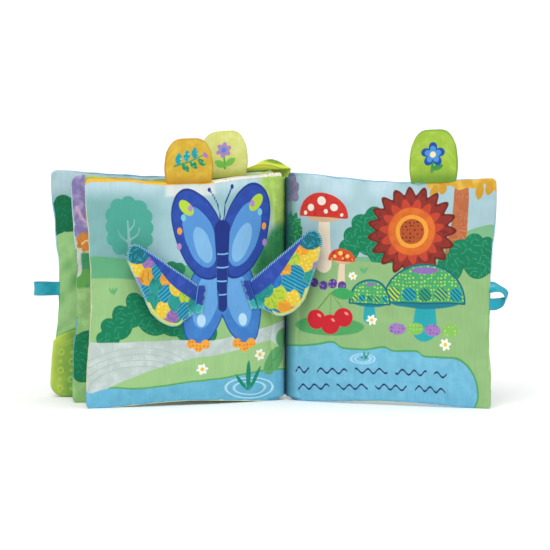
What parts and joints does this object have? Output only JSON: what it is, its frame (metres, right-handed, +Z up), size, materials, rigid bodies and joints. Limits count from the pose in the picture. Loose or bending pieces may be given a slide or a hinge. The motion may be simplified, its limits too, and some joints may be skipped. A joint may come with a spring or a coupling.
{
  "type": "crinkle cloth book",
  "caption": "Padded cloth picture book for a baby, standing open, with crinkle film inside, index tabs, lift-up cloth wings, ribbon loops and a rubber teether at one corner.",
  "frame": {"origin": "on the surface that the book stands on, under the middle of its bounding box", "axes": "+X to the reader's right along the open spread, +Y away from the reader, +Z up"},
  "size_m": [0.425, 0.1304, 0.2479],
  "materials": {
    "printed_cloth": "printed plain-weave polyester, matte",
    "cover_cloth": "plain-weave polyester, matte",
    "wing_cloth": "plain-weave polyester, matte",
    "patch_cloth": "printed plain-weave polyester, matte",
    "orange_cloth": "printed plain-weave polyester, matte",
    "yellow_cloth": "printed plain-weave polyester, matte",
    "lime_cloth": "printed plain-weave polyester, matte",
    "satin_ribbon": "woven satin",
    "wadding": "polyester wadding",
    "crinkle_film": "thin clear film",
    "green_rubber": "moulded silicone, satin"
  },
  "bodies": {
    "front_cover": {"front_cover_inside_cloth": "printed_cloth", "front_cover_outside_cloth": "cover_cloth", "front_cover_crinkle_film": "crinkle_film", "front_cover_wadding": "wadding", "cover_tab_front": "lime_cloth", "cover_tab_rear": "lime_cloth", "teether": "green_rubber", "left_ribbon_loop": "satin_ribbon", "web_cover_to_leaf_2": "cover_cloth"},
    "leaf_2": {"leaf_2_front_cloth": "printed_cloth", "leaf_2_rear_cloth": "printed_cloth", "leaf_2_crinkle_film": "crinkle_film", "leaf_2_wadding": "wadding", "yellow_tab_front": "yellow_cloth", "yellow_tab_rear": "yellow_cloth", "web_leaf_2_to_leaf_3": "cover_cloth"},
    "leaf_3": {"leaf_3_front_cloth": "printed_cloth", "leaf_3_rear_cloth": "printed_cloth", "leaf_3_crinkle_film": "crinkle_film", "leaf_3_wadding": "wadding", "orange_tab_front": "orange_cloth", "orange_tab_rear": "orange_cloth", "left_wing_hem": "wing_cloth", "right_wing_hem": "wing_cloth", "web_leaf_3_to_back_cover": "cover_cloth"},
    "back_cover": {"back_cover_inside_cloth": "printed_cloth", "back_cover_outside_cloth": "cover_cloth", "back_cover_crinkle_film": "crinkle_film", "back_cover_wadding": "wadding", "lime_tab_front": "lime_cloth", "lime_tab_rear": "lime_cloth", "right_ribbon_loop": "satin_ribbon"},
    "left_wing": {"left_wing_rear_cloth": "wing_cloth", "left_wing_crinkle_film": "crinkle_film", "left_wing_front_cloth": "patch_cloth"},
    "right_wing": {"right_wing_rear_cloth": "wing_cloth", "right_wing_crinkle_film": "crinkle_film", "right_wing_front_cloth": "patch_cloth"}
  },
  "joints": [
    {"name": "leaf_2_turn", "type": "hinge", "parent": "front_cover", "child": "leaf_2", "pos_m": [0.00426, 0.02984, 0], "axis": [0, 0, 1], "range_deg": [-9, 60], "deforming": ["web_cover_to_leaf_2"]},
    {"name": "leaf_3_turn", "type": "hinge", "parent": "leaf_2", "child": "leaf_3", "pos_m": [0.00921, 0.01794, 0], "axis": [0, 0, 1], "range_deg": [-9, 60], "deforming": ["web_leaf_2_to_leaf_3"]},
    {"name": "back_cover_turn", "type": "hinge", "parent": "leaf_3", "child": "back_cover", "pos_m": [0.0141, 0.00451, 0], "axis": [0, 0, 1], "range_deg": [-125, 35], "deforming": ["web_leaf_3_to_back_cover", "left_wing_rear_cloth", "left_wing_crinkle_film", "left_wing_front_cloth", "right_wing_rear_cloth", "right_wing_crinkle_film", "right_wing_front_cloth"]},
    {"name": "left_wing_fold", "type": "hinge", "parent": "leaf_3", "child": "left_wing", "pos_m": [-0.06495, -0.02952, 0.0948], "axis": [0.1325, 0.0427, 0.9903], "range_deg": [-8, 95]},
    {"name": "right_wing_fold", "type": "hinge", "parent": "leaf_3", "child": "right_wing", "pos_m": [-0.01437, -0.00892, 0.09729], "axis": [0.2919, 0.1614, -0.9427], "range_deg": [-4, 71]}
  ]
}
